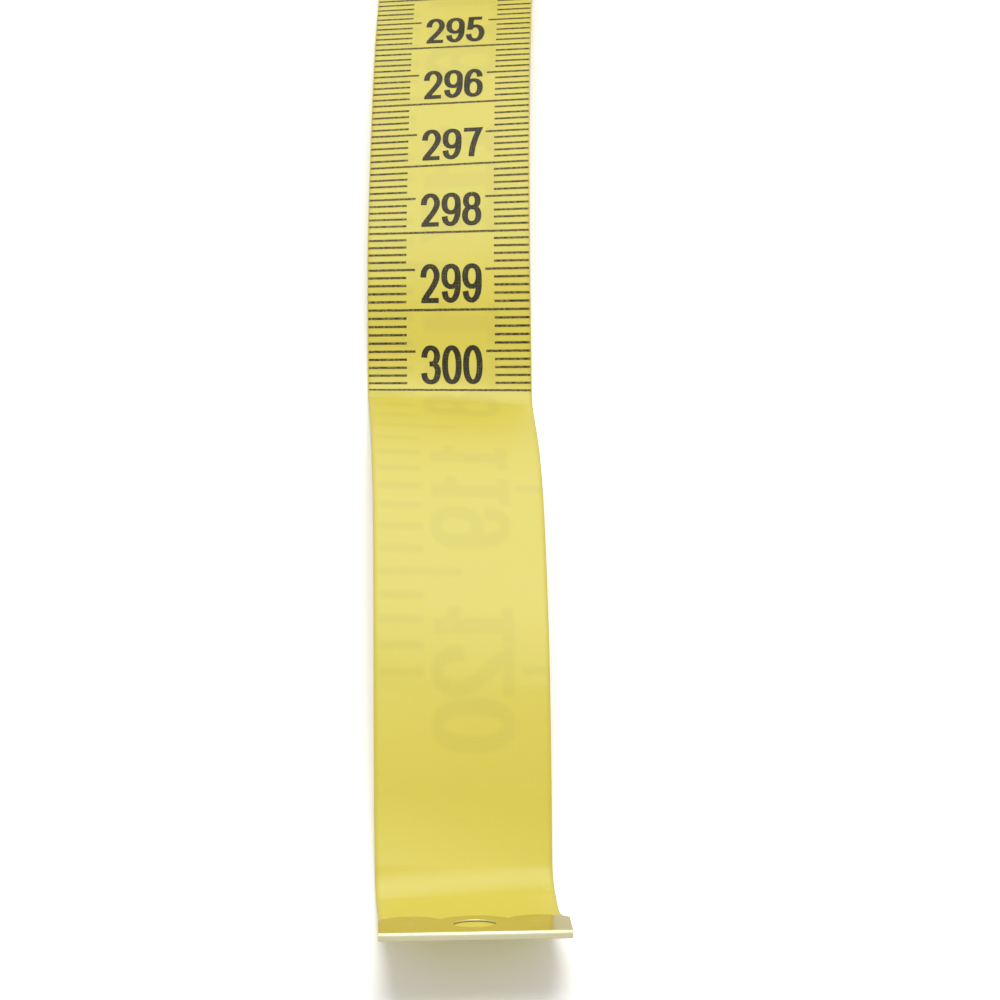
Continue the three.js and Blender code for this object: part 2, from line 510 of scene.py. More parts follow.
    def _roll_stations(
        self, axis: np.ndarray, outer: float, inner: float, sweep: float, flat_end: float
    ) -> Stations:
        """Follows the tape from its start through the turns of the roll and along the table.

        The turns are a smooth spiral. Where the outermost would pass below the table it lies flat on it.

        Args:
            axis: A point on the roll's axis.
            outer: The spiral's radius at the table.
            inner: The spiral's radius at its inner end.
            sweep: The angle that the spiral turns through.
            flat_end: The y where the flat stretch on the table ends.

        Returns:
            Places, across directions and facing directions.
        """
        count = math.ceil(math.degrees(sweep) / self.roll_step)
        angle = np.linspace(sweep, 0, count + 1)
        radius = outer + (inner - outer) * angle / sweep
        y, z = axis[1] + radius * np.sin(angle), axis[2] - radius * np.cos(angle)

        table, soft = self.thickness / 2, self.settle_round
        settled = table + soft * np.logaddexp(0, (z - table) / soft)
        low = (y < axis[1] + outer * self.settle_side) & (z < table + self.settle_reach)
        core = self._core_points(np.array([y[0], z[0]]), sweep)
        flat = np.arange(axis[1] - self.flat_step, flat_end, -self.flat_step)
        y = np.concatenate([core[:, 0], y, flat])
        z = np.concatenate([core[:, 1], np.where(low, settled, z), np.full(len(flat), table)])

        slope = np.stack([np.gradient(y), np.gradient(z)], 1)
        slope /= np.linalg.norm(slope, axis=1)[:, None]
        zero = np.zeros(len(y))
        place = np.stack([zero + axis[0], y, z], 1)
        across = np.stack([zero + 1, zero, zero], 1)
        facing = np.stack([zero, slope[:, 1], -slope[:, 0]], 1)
        return place, across, facing

    def at(self, distance: float) -> Vector:
        """The middle of the tape at a distance from its start."""
        return Vector([np.interp(distance, self.distance, self.place[:, k]) for k in range(3)])

    def chain(self) -> bpy.types.Object:
        """Puts the path into the scene as a chain of edges, with its two directions as attributes.

        Returns:
            The chain.
        """
        mesh = bpy.data.meshes.new("tape_path")
        count = len(self.place)
        mesh.from_pydata(self.place.tolist(), [(i, i + 1) for i in range(count - 1)], [])
        for label, rows in (("across", self.across), ("facing", self.facing)):
            mesh.attributes.new(label, "FLOAT_VECTOR", "POINT").data.foreach_set("vector", rows.ravel())
        return new_object("tape_path", mesh)


@dataclass(frozen=True)
class Pen:
    """A broad pen: how wide its upright and its level strokes are, in metres."""

    upright: float
    level: float

    def half_widths(self, points: np.ndarray) -> tuple[np.ndarray, np.ndarray]:
        """How a stroke spreads from its middle line.

        Args:
            points: The points of the middle line.

        Returns:
            The unit normals and the half widths at the points.
        """
        tangent = np.gradient(points, axis=0)
        tangent /= np.linalg.norm(tangent, axis=1)[:, None] + TINY
        width = np.hypot(self.upright * tangent[:, 1], self.level * tangent[:, 0])
        return np.stack([-tangent[:, 1], tangent[:, 0]], 1), width / 2


@dataclass(frozen=True)
class Figures:
    """A set of the ten figures, drawn as pen strokes in a box of one height and width.

    The roundness is the power that makes the ellipses squarish. Straight strokes have so many pieces to the
    figures' height that they bend with the roll.
    """

    height: float
    width: float
    pen: Pen
    slab: float = 0.0
    roundness: float = 0.88
    oval_steps: int = 28
    ring_steps: int = 18
    pieces_per_height: int = 6

    def _arc(self, y: float, rx: float, ry: float, start: float, steps: int) -> list[Point]:
        """Points once round a squarish ellipse.

        Args:
            y: The height of its centre.
            rx: The half width.
            ry: The half height.
            start: The first angle in degrees.
            steps: How many pieces it has.

        Returns:
            The points.
        """
        points = []
        for angle in np.radians(np.linspace(start, start + 360, steps + 1)):
            c, s = (math.copysign(abs(f) ** self.roundness, f) for f in (math.cos(angle), math.sin(angle)))
            points.append((rx * c, y + ry * s))
        return points

    def _line(self, *corners: Point) -> list[Point]:
        """Points along straight pieces.

        Args:
            corners: The ends of the pieces.

        Returns:
            The points, close enough together to bend on the roll.
        """
        points = [corners[0]]
        for (ax, ay), (bx, by) in zip(corners, corners[1:]):
            pieces = max(2, round(math.hypot((bx - ax) / 2, by - ay) * self.pieces_per_height))
            points += [
                (ax + (bx - ax) * k / pieces, ay + (by - ay) * k / pieces) for k in range(1, pieces + 1)
            ]
        return points

    @staticmethod
    def _curve(*knots: Point) -> list[Point]:
        """Points on a smooth curve.

        Args:
            knots: The points that it passes through.

        Returns:
            The points, two to each stretch between knots.
        """
        k = np.array([knots[0], *knots, knots[-1]])
        points = []
        for a, b, c, d in zip(k, k[1:], k[2:], k[3:]):
            for t in (0.0, 0.5):
                bent = 2 * a - 5 * b + 4 * c - d
                turn = 3 * b - a - 3 * c + d
                points.append(tuple(0.5 * (2 * b + (c - a) * t + bent * t**2 + turn * t**3)))
        return [*points, knots[-1]]

    def strokes(self, figure: int) -> list[list[Point]]:
        """The middle lines of one figure's strokes.

        Args:
            figure: The figure, 0 to 9.

        Returns:
            The strokes, with x from -1 to 1 and y from 0 to 1.
        """
        arc, line, curve = self._arc, self._line, self._curve
        stems = {1: 0.3, 4: 0.42, 7: -0.14}
        bowl = (
            (0.98, 0.4), (0.98, 0.23), (0.68, 0.06), (0.15, 0), (-0.42, 0.015), (-0.86, 0.11), (-1, 0.27)
        )
        ring = arc(0.305, 1, 0.305, 180, self.ring_steps)
        hook = curve(
            (0.95, 0.74), (0.8, 0.9), (0.35, 0.99), (-0.1, 1), (-0.62, 0.91), (-0.93, 0.72), (-1, 0.5),
            (-1, 0.34), (-0.97, 0.22),
        )
        shapes = {
            0: [arc(0.5, 1, 0.5, 0, self.oval_steps)],
            1: [
                line((stems[1], 0), (stems[1], 1)),
                curve((stems[1], 0.95), (0.1, 0.85), (-0.2, 0.78), (-0.7, 0.75)),
            ],
            2: [
                curve(
                    (-1, 0.67), (-0.9, 0.84), (-0.5, 0.97), (0, 1), (0.55, 0.96), (0.94, 0.8), (0.94, 0.64),
                    (0.58, 0.46), (0.02, 0.28), (-0.6, 0.1), (-0.98, -0.08),
                ),
                line((-1.25, 0), (1.25, 0)),
            ],
            3: [
                curve(
                    (-0.97, 0.72), (-0.82, 0.88), (-0.42, 0.985), (0.05, 1), (0.55, 0.96), (0.88, 0.84),
                    (0.86, 0.68), (0.5, 0.56), (-0.2, 0.535),
                ),
                curve((-0.2, 0.535), (0.5, 0.525), *bowl),
            ],
            4: [
                line((0.3, 1), (-1, 0.27)),
                line((-1.2, 0.25), (1.25, 0.25)),
                line((stems[4], 0), (stems[4], 1)),
            ],
            5: [
                line((1, 1), (-0.8, 1)),
                line((-0.62, 1.1), (-0.84, 0.47)),
                curve((-0.84, 0.52), (-0.45, 0.615), (0.1, 0.635), (0.65, 0.57), *bowl),
            ],
            6: [ring, hook],
            7: [
                line((-1.3, 1), (1.2, 1)),
                curve((1.2, 1.1), (0.66, 0.8), (0.32, 0.57), (0.02, 0.3), (stems[7], 0)),
            ],
            8: [arc(0.77, 0.88, 0.23, 90, self.ring_steps), arc(0.275, 1, 0.275, 90, self.ring_steps)],
            9: [[(-x, 1 - y) for x, y in stroke] for stroke in (ring, hook)],
        }
        made = shapes[figure]
        if self.slab and figure in stems:
            made.append(line((stems[figure] - self.slab, 0), (stems[figure] + self.slab, 0)))
        return made

    def outline(self, figure: int) -> tuple[list[Point], list[Corners]]:
        """One figure as flat ribbons.

        Args:
            figure: The figure, 0 to 9.

        Returns:
            Corner points, with the origin under the middle of the base line, and faces.
        """
        reach = (self.width - self.pen.upright) / 2
        rise = self.height - self.pen.level
        points: list[Point] = []
        faces: list[Corners] = []
        for stroke in self.strokes(figure):
            middle = np.array([(x * reach, self.pen.level / 2 + y * rise) for x, y in stroke])
            normal, half = self.pen.half_widths(middle)
            first = len(points)
            sides = np.stack([middle + normal * half[:, None], middle - normal * half[:, None]], 1)
            sides[:, :, 1] = np.clip(sides[:, :, 1], 0, self.height)
            points += [tuple(corner) for pair in sides for corner in pair]
            faces += [(k, k + 1, k + 3, k + 2) for k in range(first, len(points) - 2, 2)]
        return points, faces

    def shelf(self, face: Face) -> bpy.types.Collection:
        """The ten figures as flat meshes, turned as they stand on one face of the tape.

        Args:
            face: The face that they are printed on.

        Returns:
            A collection with one object for each figure.
        """
        shelf = bpy.data.collections.new("figures_" + face.name.lower())
        for figure in range(10):
            points, faces = self.outline(figure)
            if face is Face.CENTIMETRE:
                flat = [(x, -y, 0.0) for x, y in points]
            else:
                flat = [(self.height / 2 - y, x, 0.0) for x, y in points]
            mesh = bpy.data.meshes.new(f"figure_{figure}")
            mesh.from_pydata(flat, [], faces)
            shelf.objects.link(bpy.data.objects.new(f"figure_{face.name.lower()}_{figure}", mesh))
        return shelf


class PrintRow:
    """What the rows of a scale share: each field is an input of the printing trees by the same name."""

    @staticmethod
    def _label(name: str) -> str:
        """The input name of a field."""
        return name.replace("_", " ").title()

    @classmethod
    def sockets(cls) -> dict[str, Socket]:
        """The kinds of socket of the row's inputs by name, from the types of its fields."""
        kinds = {"int": Socket.INT, "float": Socket.FLOAT, "Place": Socket.VECTOR}
        return {cls._label(item.name): kinds[item.type] for item in fields(cls)}

    def inputs(self, row: str) -> dict[str, Any]:
        """The row's values by input name, after the row's own name."""
        return {f"{row} {self._label(name)}": value for name, value in asdict(self).items()}


@dataclass(frozen=True)
class TickRow(PrintRow):
    """A row of ticks that start at one edge of the tape. Lengths are in metres."""

    count: int
    pitch: float
    edge: float
    inward: float
    short: float
    middle: float
    long: float
    middle_every: int
    long_every: int
    stroke: float


@dataclass(frozen=True)
class NumberRow(PrintRow):
    """The numbers of one scale: how many, how far apart, and how their figures follow each other."""

    count: int
    pitch: float
    advance: Place
    base: Place


class PrintTrees:
    """The Geometry Nodes trees that lay ticks and numbers out flat and wrap them on the tape's path.

    A whole printed face has two rows of ticks and one of numbers. The margin keeps a whole quotient from
    being rounded down. What lies above the upper level belongs to the upper face.
    """

    ROWS: Mapping[str, Mapping[str, Socket]] = {
        "Left": TickRow.sockets(),
        "Right": TickRow.sockets(),
        "Number": NumberRow.sockets() | {"Figures": Socket.COLLECTION},
    }
    MOST_FIGURES = 3
    QUOTIENT_MARGIN = 0.1
    UPPER_LEVEL = 0.00005

    def __init__(self) -> None:
        """Builds the trees in the order in which they use each other."""
        self.wrap = self._wrap_tree()
        self.ticks = self._tick_tree()
        self.numbers = self._number_tree()
        self.layout = self._layout_tree()
        self.print = self._print_tree()
        self.strip = self._strip_tree()

    @staticmethod
    def _start(name: str, inputs: Mapping[str, Socket]) -> GroupBuilder:
        """Starts a tree that puts out one geometry."""
        return GroupBuilder(name, TreeKind.GEOMETRY, inputs, {"Geometry": Socket.GEOMETRY})

    @staticmethod
    def _stored(
        b: GroupBuilder, geometry: bpy.types.NodeSocket, name: str, value: Any, kind: str = "FLOAT"
    ) -> bpy.types.NodeSocket:
        """The geometry with a value stored on its points, as an attribute of that name and type."""
        inputs = {"Geometry": geometry, "Name": name, "Value": value}
        return b.out("GeometryNodeStoreNamedAttribute", inputs, data_type=kind, domain="POINT")

    @staticmethod
    def _spaced(b: GroupBuilder, start: Any, stride: bpy.types.NodeSocket) -> bpy.types.NodeSocket:
        """A line of as many points as the tree's count says, a stride apart."""
        inputs = {"Count": b.given["Count"], "Start Location": start, "Offset": stride}
        return b.out("GeometryNodeMeshLine", inputs, mode="OFFSET", count_mode="TOTAL")

    @staticmethod
    def _shifted(
        b: GroupBuilder, geometry: bpy.types.NodeSocket, offset: bpy.types.NodeSocket
    ) -> bpy.types.NodeSocket:
        """The geometry with its points moved by an offset."""
        place = b.vector("ADD", b.out("GeometryNodeInputPosition"), offset)
        return b.out("GeometryNodeSetPosition", {"Geometry": geometry, "Position": place})

    def _wrap_tree(self) -> bpy.types.NodeTree:
        """Builds the tree that takes a flat layout to its place on the path.

        Returns:
            The tree, for layouts with y as the distance along the tape.
        """
        sockets = {"Geometry": Socket.GEOMETRY, "Path": Socket.OBJECT, "Lift": Socket.FLOAT}
        b = self._start("wrap_on_tape", sockets)
        position = b.out("GeometryNodeInputPosition")
        flat = b.parts(position)
        chain = b.out("GeometryNodeObjectInfo", {"Object": b.given["Path"]}, "Geometry")
        curve = b.out("GeometryNodeMeshToCurve", {"Mesh": chain})
        samples = {}
        for label in ("across", "facing"):
            named = b.out(
                "GeometryNodeInputNamedAttribute", {"Name": label}, "Attribute", data_type="FLOAT_VECTOR"
            )
            inputs = {"Curves": curve, "Value": named, "Length": flat["Y"]}
            samples[label] = b.node(
                "GeometryNodeSampleCurve", inputs, mode="LENGTH", data_type="FLOAT_VECTOR"
            ).outputs
        across, facing = (b.socket(sample, "Value") for sample in samples.values())
        centre = b.socket(samples["across"], "Position")
        sideways = b.vector("SCALE", across, flat["X"])
        upwards = b.vector("SCALE", facing, b.math("ADD", flat["Z"], b.given["Lift"]))
        place = b.vector("ADD", b.vector("ADD", centre, sideways), upwards)
        kept = self._stored(b, b.given["Geometry"], "flat", position, "FLOAT_VECTOR")
        moved = b.out("GeometryNodeSetPosition", {"Geometry": kept, "Position": place})
        return b.ended({"Geometry": moved})

    def _tick_tree(self) -> bpy.types.NodeTree:
        """Builds the tree that lays out one row of ticks.

        Returns:
            The tree, which puts out flat bars.
        """
        b = self._start("tick_row", self.ROWS["Left"])
        given = b.given
        line = self._spaced(b, (0.0, 0.0, 0.0), b.combine(0.0, given["Pitch"], 0.0))
        index = b.out("GeometryNodeInputIndex")
        length: Any = given["Short"]
        for every, longer in (("Middle Every", "Middle"), ("Long Every", "Long")):
            hit = b.math("LESS_THAN", b.math("MODULO", index, given[every]), 0.5)
            gain = b.math("MULTIPLY", hit, b.math("SUBTRACT", given[longer], length))
            length = b.math("ADD", length, gain)
        inset = b.math("MULTIPLY", given["Inward"], b.math("MULTIPLY", length, 0.5))
        rows = self._shifted(b, line, b.combine(b.math("ADD", given["Edge"], inset), 0.0, 0.0))
        unit = {"Size X": 1.0, "Size Y": 1.0, "Vertices X": 2, "Vertices Y": 2}
        bar = b.out("GeometryNodeMeshGrid", unit, "Mesh")
        size = b.combine(length, given["Stroke"], 1.0)
        placed = b.out("GeometryNodeInstanceOnPoints", {"Points": rows, "Instance": bar, "Scale": size})
        real = b.out("GeometryNodeRealizeInstances", {"Geometry": placed})
        return b.ended({"Geometry": self._stored(b, real, "tick", 1.0)})

    def _number_tree(self) -> bpy.types.NodeTree:
        """Builds the tree that counts off the numbers of a scale and picks their figures.

        Returns:
            The tree, which puts out flat figures.
        """
        b = self._start("number_row", self.ROWS["Number"])
        given = b.given
        stride = b.combine(0.0, given["Pitch"], 0.0)
        line = self._spaced(b, stride, stride)
        number = b.math("ADD", b.out("GeometryNodeInputIndex"), 1.0)
        figures = b.out(
            "GeometryNodeCollectionInfo",
            {"Collection": given["Figures"], "Separate Children": True, "Reset Children": True},
        )
        units = [10.0**power for power in range(self.MOST_FIGURES)]
        shown = [b.math("GREATER_THAN", number, unit - 0.5) for unit in units]
        more: Any = 0.0
        for one in shown[1:]:
            more = b.math("ADD", more, one)
        joined = b.node("GeometryNodeJoinGeometry")
        for power, unit in enumerate(units):
            quotient = b.math("DIVIDE", b.math("ADD", number, self.QUOTIENT_MARGIN), unit)
            figure = b.math("MODULO", b.math("FLOOR", quotient), 10.0)
            steps = b.math("SUBTRACT", b.math("MULTIPLY", more, 0.5), float(power))
            offset = b.vector("ADD", b.vector("SCALE", given["Advance"], steps), given["Base"])
            choice = {"Instance": figures, "Pick Instance": True, "Instance Index": figure}
            points = {"Points": self._shifted(b, line, offset), "Selection": shown[power]}
            b.feed(joined.inputs[0], b.out("GeometryNodeInstanceOnPoints", points | choice))
        return b.ended({"Geometry": b.out("GeometryNodeRealizeInstances", {"Geometry": joined.outputs[0]})})

    def _layout_sockets(self) -> dict[str, Socket]:
        """The sockets of a whole printed face."""
        return {f"{row} {label}": kind for row, part in self.ROWS.items() for label, kind in part.items()}

    def _layout_tree(self) -> bpy.types.NodeTree:
        """Builds the tree that joins the rows of one face.

        Returns:
            The tree, which puts out a flat layout.
        """
        b = self._start("scale_layout", self._layout_sockets())
        joined = b.node("GeometryNodeJoinGeometry")
        for row, sockets in self.ROWS.items():
            tree = self.numbers if row == "Number" else self.ticks
            part = b.group(tree, {label: b.given[f"{row} {label}"] for label in sockets})
            b.feed(joined.inputs[0], part.outputs[0])
        return b.ended({"Geometry": joined.outputs[0]})

    def _start_face(self, name: str, **more: Socket) -> tuple[GroupBuilder, bpy.types.NodeSocket]:
        """Starts a tree that uses the layout of a face and the path.

        Args:
            name: The tree's name.
            more: The kinds of its other sockets by input name.

        Returns:
            The tree's builder, and the flat layout in it.
        """
        sockets = {"Geometry": Socket.GEOMETRY, "Path": Socket.OBJECT, "Lift": Socket.FLOAT}
        b = self._start(name, sockets | more | self._layout_sockets())
        layout = b.group(self.layout, {label: b.given[label] for label in self._layout_sockets()})
        return b, layout.outputs[0]

    def _wrapped(self, b: GroupBuilder, flat: bpy.types.NodeSocket, finish: str) -> bpy.types.NodeTree:
        """Ends a tree: the flat geometry is wrapped on the path, realized and given its material.

        Args:
            b: The tree's builder.
            flat: The flat geometry.
            finish: The name of the input that holds the material.

        Returns:
            The finished tree.
        """
        wrapped = b.group(self.wrap, {"Geometry": flat, "Path": b.given["Path"], "Lift": b.given["Lift"]})
        real = b.out("GeometryNodeRealizeInstances", {"Geometry": wrapped.outputs[0]})
        dressed = b.out("GeometryNodeSetMaterial", {"Geometry": real, "Material": b.given[finish]})
        return b.ended({"Geometry": dressed})

    def _print_tree(self) -> bpy.types.NodeTree:
        """The tree of one printed face on the path."""
        b, layout = self._start_face("printed_face", Ink=Socket.MATERIAL)
        return self._wrapped(b, layout, "Ink")

    def _strip_tree(self) -> bpy.types.NodeTree:
        """Builds the tree of the cloth strip.

        Returns:
            The tree, which marks where the other face's print shows through, and wraps the strip.
        """
        b, layout = self._start_face("cloth_strip", Blur=Socket.FLOAT, Cloth=Socket.MATERIAL)
        flat = b.parts(b.out("GeometryNodeInputPosition"))
        nearest = {"Geometry": layout, "Sample Position": b.combine(flat["X"], flat["Y"], 0.0)}
        distance = b.out("GeometryNodeProximity", nearest, "Distance", target_element="FACES")
        shade = b.ranged(distance, (0.0, b.given["Blur"]), (1.0, 0.0), smooth=True)
        upper = b.math("GREATER_THAN", flat["Z"], self.UPPER_LEVEL)
        marked = self._stored(b, b.given["Geometry"], "show_through", b.math("MULTIPLY", shade, upper))
        return self._wrapped(b, marked, "Cloth")


class FinishGroups:
    """Shader node groups that more than one finish uses."""

    WAVER_SCALE = 420.0
    WAVER_DETAIL = 2.0
    SPOT_DETAIL = 4.0

    def __init__(self) -> None:
        """Builds the groups."""
        self.weave = self._weave()
        self.mottle = self._mottle()

    def _weave(self) -> bpy.types.NodeTree:
        """Builds the plain weave of the core cloth, as it stands out through the coat.

        Returns:
            The group, which puts out the height of the threads and how fully they cross.
        """
        b = GroupBuilder(
            "plain_weave",
            TreeKind.SHADER,
            {"Vector": Socket.VECTOR, "Threads": Socket.FLOAT, "Waver": Socket.FLOAT},
            {"Height": Socket.FLOAT, "Crossing": Socket.FLOAT},
        )
        waver = b.noise(b.given["Vector"], self.WAVER_SCALE, self.WAVER_DETAIL, "Color")
        shift = b.vector("SUBTRACT", waver, (0.5, 0.5, 0.5))
        flat = b.parts(b.vector("ADD", b.given["Vector"], b.vector("SCALE", shift, b.given["Waver"])))
        turn = b.math("MULTIPLY", b.given["Threads"], math.pi)
        waves = [b.math("SINE", b.math("MULTIPLY", flat[axis], turn)) for axis in ("X", "Y")]
        warp, weft = (b.math("ABSOLUTE", wave) for wave in waves)
        height = b.math("MULTIPLY", b.math("ADD", warp, weft), 0.5)
        return b.ended({"Height": height, "Crossing": b.math("MULTIPLY", warp, weft)})

    def _mottle(self) -> bpy.types.NodeTree:
        """Builds a faint unevenness of large and small spots.

        Returns:
            The group, which puts out a value around 0.5.
        """
        b = GroupBuilder(
            "mottle",
            TreeKind.SHADER,
            {"Vector": Socket.VECTOR, "Large": Socket.FLOAT, "Small": Socket.FLOAT},
            {"Value": Socket.FLOAT},
        )
        sizes = [b.given[size] for size in ("Large", "Small")]
        spots = [b.noise(b.given["Vector"], size, self.SPOT_DETAIL) for size in sizes]
        return b.ended({"Value": b.math("MULTIPLY", b.math("ADD", *spots), 0.5)})

    def spots(self, b: TreeBuilder, vector: bpy.types.NodeSocket, scales: Point) -> bpy.types.NodeSocket:
        """The mottle on a vector, with the scales of its large and its small spots."""
        return b.group(self.mottle, {"Vector": vector, "Large": scales[0], "Small": scales[1]}).outputs[0]


@dataclass(frozen=True)
class CoatedCloth:
    """Yellow plastic coat on a woven core: satin, with the weave standing out faintly.

    The print of the other face shows through as a ghost, and a little light glows inside the coat.
    """

    colour: Colour = (0.778, 0.652, 0.068)
    warm: Colour = (0.753, 0.625, 0.062)
    spots: Point = (60.0, 900.0)
    spot_share: float = 0.5
    edge: Colour = (0.700, 0.560, 0.040)
    edge_line: float = 0.0091
    edge_fade: float = 0.0005
    edge_share: float = 0.55
    ghost: Colour = (0.10, 0.08, 0.03)
    show_through: float = 0.065
    roughness: float = 0.47
    roughness_spread: float = 0.14
    shine: float = 1.0
    sheen: Colour = (0.40, 0.70, 1.0)
    threads: float = 2600.0
    waver: float = 0.00012
    weave_depth: float = 0.000012
    weave_strength: float = 0.35
    glow: float = 0.1
    glow_radius: Place = (1.0, 0.75, 0.12)
    glow_depth: float = 0.0004

    def make(self, groups: FinishGroups) -> bpy.types.Material:
        """Builds the material.

        Args:
            groups: The shared shader groups.

        Returns:
            The material.
        """
        b = MaterialBuilder("coated_cloth")
        flat = b.attribute("flat", "Vector")
        woven = b.group(groups.weave, {"Vector": flat, "Threads": self.threads, "Waver": self.waver})
        uneven = groups.spots(b, flat, self.spots)
        base = b.mixed(b.math("MULTIPLY", uneven, self.spot_share), self.colour, self.warm)
        rim = b.math("ABSOLUTE", b.parts(flat)["X"])
        fade = (self.edge_line, self.edge_line + self.edge_fade)
        base = b.mixed(b.ranged(rim, fade, (0.0, self.edge_share), smooth=True), base, self.edge)
        shown = b.math("MULTIPLY", b.attribute("show_through", "Fac"), self.show_through)
        raised = {"Strength": self.weave_strength, "Distance": self.weave_depth}
        return b.ended(
            {
                "Base Color": b.mixed(shown, base, self.ghost),
                "Roughness": b.around(uneven, self.roughness, self.roughness_spread),
                "Normal": b.out("ShaderNodeBump", raised | {"Height": woven.outputs["Height"]}),
                "Specular IOR Level": self.shine,
                "Specular Tint": self.sheen,
                "Subsurface Weight": self.glow,
                "Subsurface Radius": self.glow_radius,
                "Subsurface Scale": self.glow_depth,
            }
        )


@dataclass(frozen=True)
class PrintInk:
    """Dark printing ink that lies on the coat and breaks up a little where the weave falls away.

    Ticks are ragged besides, from a grain of their own.
    """

    colour: Colour = (0.022, 0.020, 0.009)
    worn: Colour = (0.26, 0.215, 0.055)
    roughness: float = 0.45
    roughness_spread: float = 0.2
    shine: float = 0.28
    threads: float = 2600.0
    waver: float = 0.00025
    gap_power: float = 1.5
    spots: Point = (900.0, 2800.0)
    spot_range: Point = (0.46, 0.62)
    gap_wear: Point = (0.05, 0.35)
    grain: float = 3400.0
    grain_detail: float = 1.0
    grain_range: Point = (0.40, 0.66)
    tick_wear: float = 0.9

    def make(self, groups: FinishGroups) -> bpy.types.Material:
        """Builds the material.

        Args:
            groups: The shared shader groups.

        Returns:
            The material.
        """
        b = MaterialBuilder("print_ink")
        flat = b.attribute("flat", "Vector")
        woven = b.group(groups.weave, {"Vector": flat, "Threads": self.threads, "Waver": self.waver})
        uneven = groups.spots(b, flat, self.spots)
        gap = b.math("POWER", b.math("SUBTRACT", 1.0, woven.outputs["Crossing"]), self.gap_power)
        broken = b.math("MULTIPLY", gap, b.ranged(uneven, self.spot_range, self.gap_wear))
        ragged = b.ranged(b.noise(flat, self.grain, self.grain_detail), self.grain_range)
        thin = b.math("MULTIPLY", b.math("MULTIPLY", b.attribute("tick", "Fac"), ragged), self.tick_wear)
        return b.ended(
            {
                "Base Color": b.mixed(b.math("MAXIMUM", broken, thin), self.colour, self.worn),
                "Roughness": b.around(uneven, self.roughness, self.roughness_spread),
                "Specular IOR Level": self.shine,
            }
        )


@dataclass(frozen=True)
class TipMetal:
    """Plated sheet, a warm satin metal with fine drawing lines across it, duller where it is bent."""

    colour: Colour = (0.84, 0.79, 0.58)
    dull: Colour = (0.76, 0.70, 0.48)
    spots: Point = (260.0, 2400.0)
    spot_share: float = 0.5
    bent: Colour = (0.78, 0.74, 0.50)
    roughness: float = 0.15
    bend_roughness: float = 0.42
    line_roughness: float = 0.06
    line_scale: Place = (120.0, 4200.0, 4200.0)
    line_detail: float = 3.0
    line_strength: float = 0.04
    line_depth: float = 0.000003

    def make(self, groups: FinishGroups) -> bpy.types.Material:
        """Builds the material.

        Args:
            groups: The shared shader groups.

        Returns:
            The material.
        """
        b = MaterialBuilder("tip_metal")
        place = b.out("ShaderNodeTexCoord", pick="Object")
        stretched = b.out("ShaderNodeMapping", {"Vector": place, "Scale": self.line_scale})
        lines = b.noise(stretched, 1.0, self.line_detail)
        uneven = groups.spots(b, place, self.spots)
        bend = b.attribute("bend", "Fac")
        plain = b.mixed(b.math("MULTIPLY", uneven, self.spot_share), self.colour, self.dull)
        smooth = self.roughness - self.line_roughness / 2
        worn = b.math("MULTIPLY_ADD", bend, self.bend_roughness - self.roughness, smooth)
        raised = {"Strength": self.line_strength, "Distance": self.line_depth, "Height": lines}
        return b.ended(
            {
                "Base Color": b.mixed(bend, plain, self.bent),
                "Roughness": b.math("MULTIPLY_ADD", lines, self.line_roughness, worn),
                "Normal": b.out("ShaderNodeBump", raised),
                "Metallic": 1.0,
                "Specular Tint": self.colour,
            }
        )


